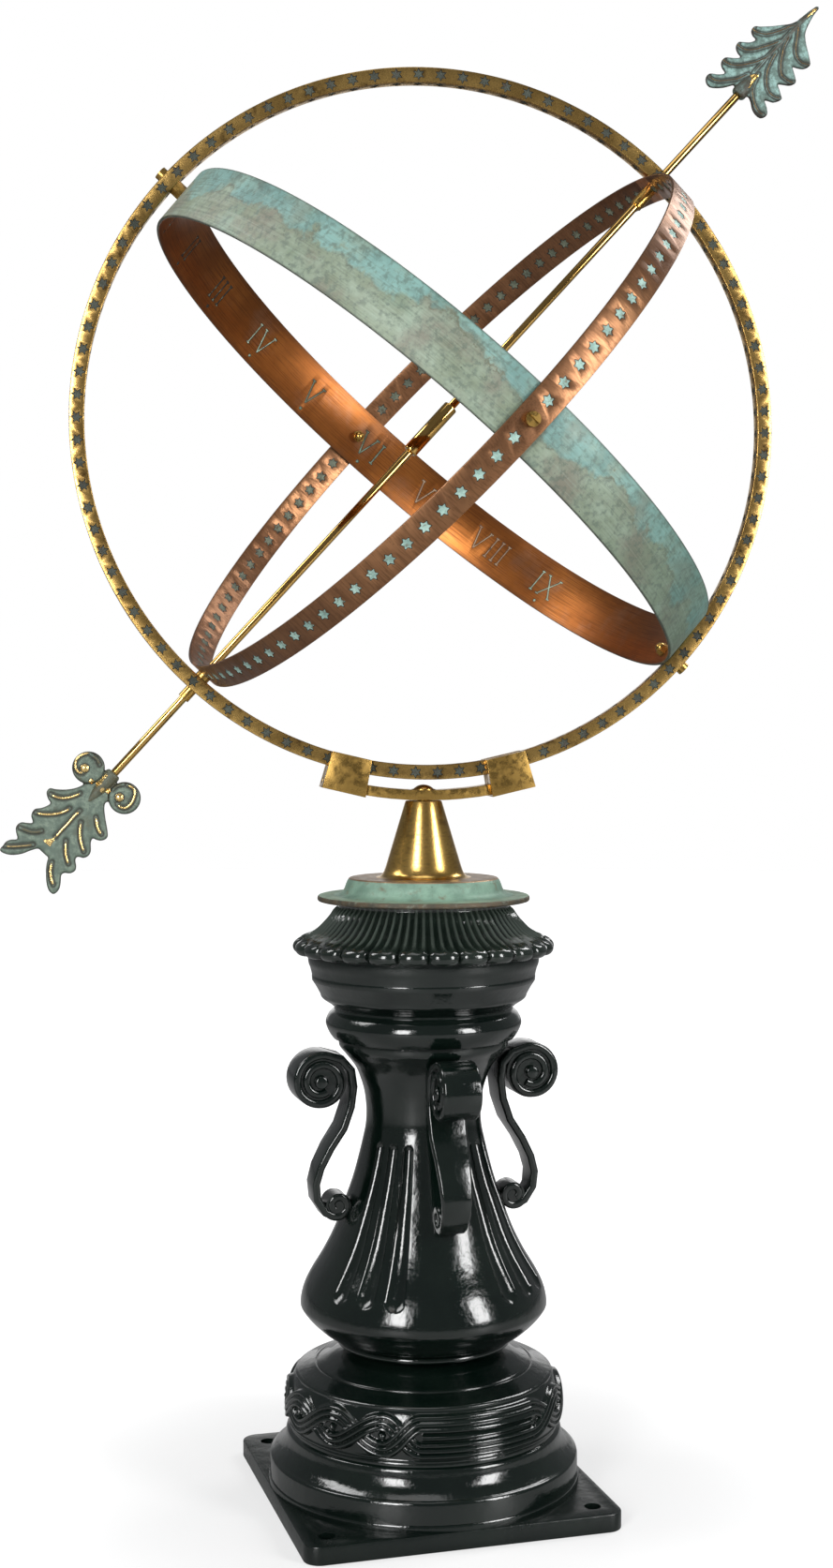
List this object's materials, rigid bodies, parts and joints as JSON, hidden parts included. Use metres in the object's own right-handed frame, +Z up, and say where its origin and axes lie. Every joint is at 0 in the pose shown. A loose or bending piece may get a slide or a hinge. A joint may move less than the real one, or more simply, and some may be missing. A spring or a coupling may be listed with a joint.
{
  "type": "pedestal sundial",
  "caption": "Armillary sundial: brass meridian ring, equator and colure bands and an arrow-shaped gnomon, on a curved cradle over a scrolled cast pedestal.",
  "frame": {"origin": "centre of the ground bolt pattern, on the underside of the base plate", "axes": "+Z up along the pedestal, -Y the front side of the square plate, +X to the right"},
  "size_m": [0.5576, 0.459, 1.0241],
  "materials": {
    "dark_enamel": "gloss enamel",
    "plain_steel": "zinc plated",
    "green_patina": "green patina",
    "brown_bronze": "matt brown",
    "warm_brass": "polished, a little tarnished",
    "verdigris_copper": "verdigris outside, brushed copper inside",
    "red_copper": "brown-red copper",
    "leaf_patina": "blue-green patina with worn brass edges"
  },
  "bodies": {
    "pedestal": {"base_plinth": "dark_enamel", "column": "dark_enamel", "capital": "dark_enamel", "pleated_crown": "dark_enamel", "handle_right": "dark_enamel", "handle_rear": "dark_enamel", "handle_left": "dark_enamel", "handle_front": "dark_enamel", "tie_rod": "plain_steel", "tie_rod_washer": "plain_steel", "tie_rod_nut": "plain_steel", "flange_plate": "green_patina", "step_disc": "brown_bronze", "cone": "warm_brass", "pivot_screw": "warm_brass", "pivot_washer": "warm_brass"},
    "cradle": {"cradle_bar": "warm_brass", "block_left": "warm_brass", "block_right": "warm_brass", "block_screws": "warm_brass", "lock_screws": "warm_brass"},
    "dial": {"meridian_ring": "warm_brass", "equator_band": "verdigris_copper", "colure_band": "red_copper", "rod_upper": "warm_brass", "rod_lower": "warm_brass", "rod_sleeve": "warm_brass", "pole_collars": "warm_brass", "equator_bolts": "warm_brass", "equator_spacers": "warm_brass", "equator_nuts": "warm_brass", "crossing_screws": "warm_brass", "crossing_spacers": "warm_brass", "crossing_nuts": "warm_brass", "arrow_head": "leaf_patina", "arrow_tail": "leaf_patina"}
  },
  "joints": [
    {"name": "azimuth", "type": "hinge", "parent": "pedestal", "child": "cradle", "pos_m": [0, 0, 0.4752], "axis": [0, 0, 1], "continuous": true},
    {"name": "latitude", "type": "hinge", "parent": "cradle", "child": "dial", "pos_m": [0.00247, -0.00037, 0.7295], "axis": [0.1478, 0.989, 0], "range_deg": [-20, 27]}
  ]
}
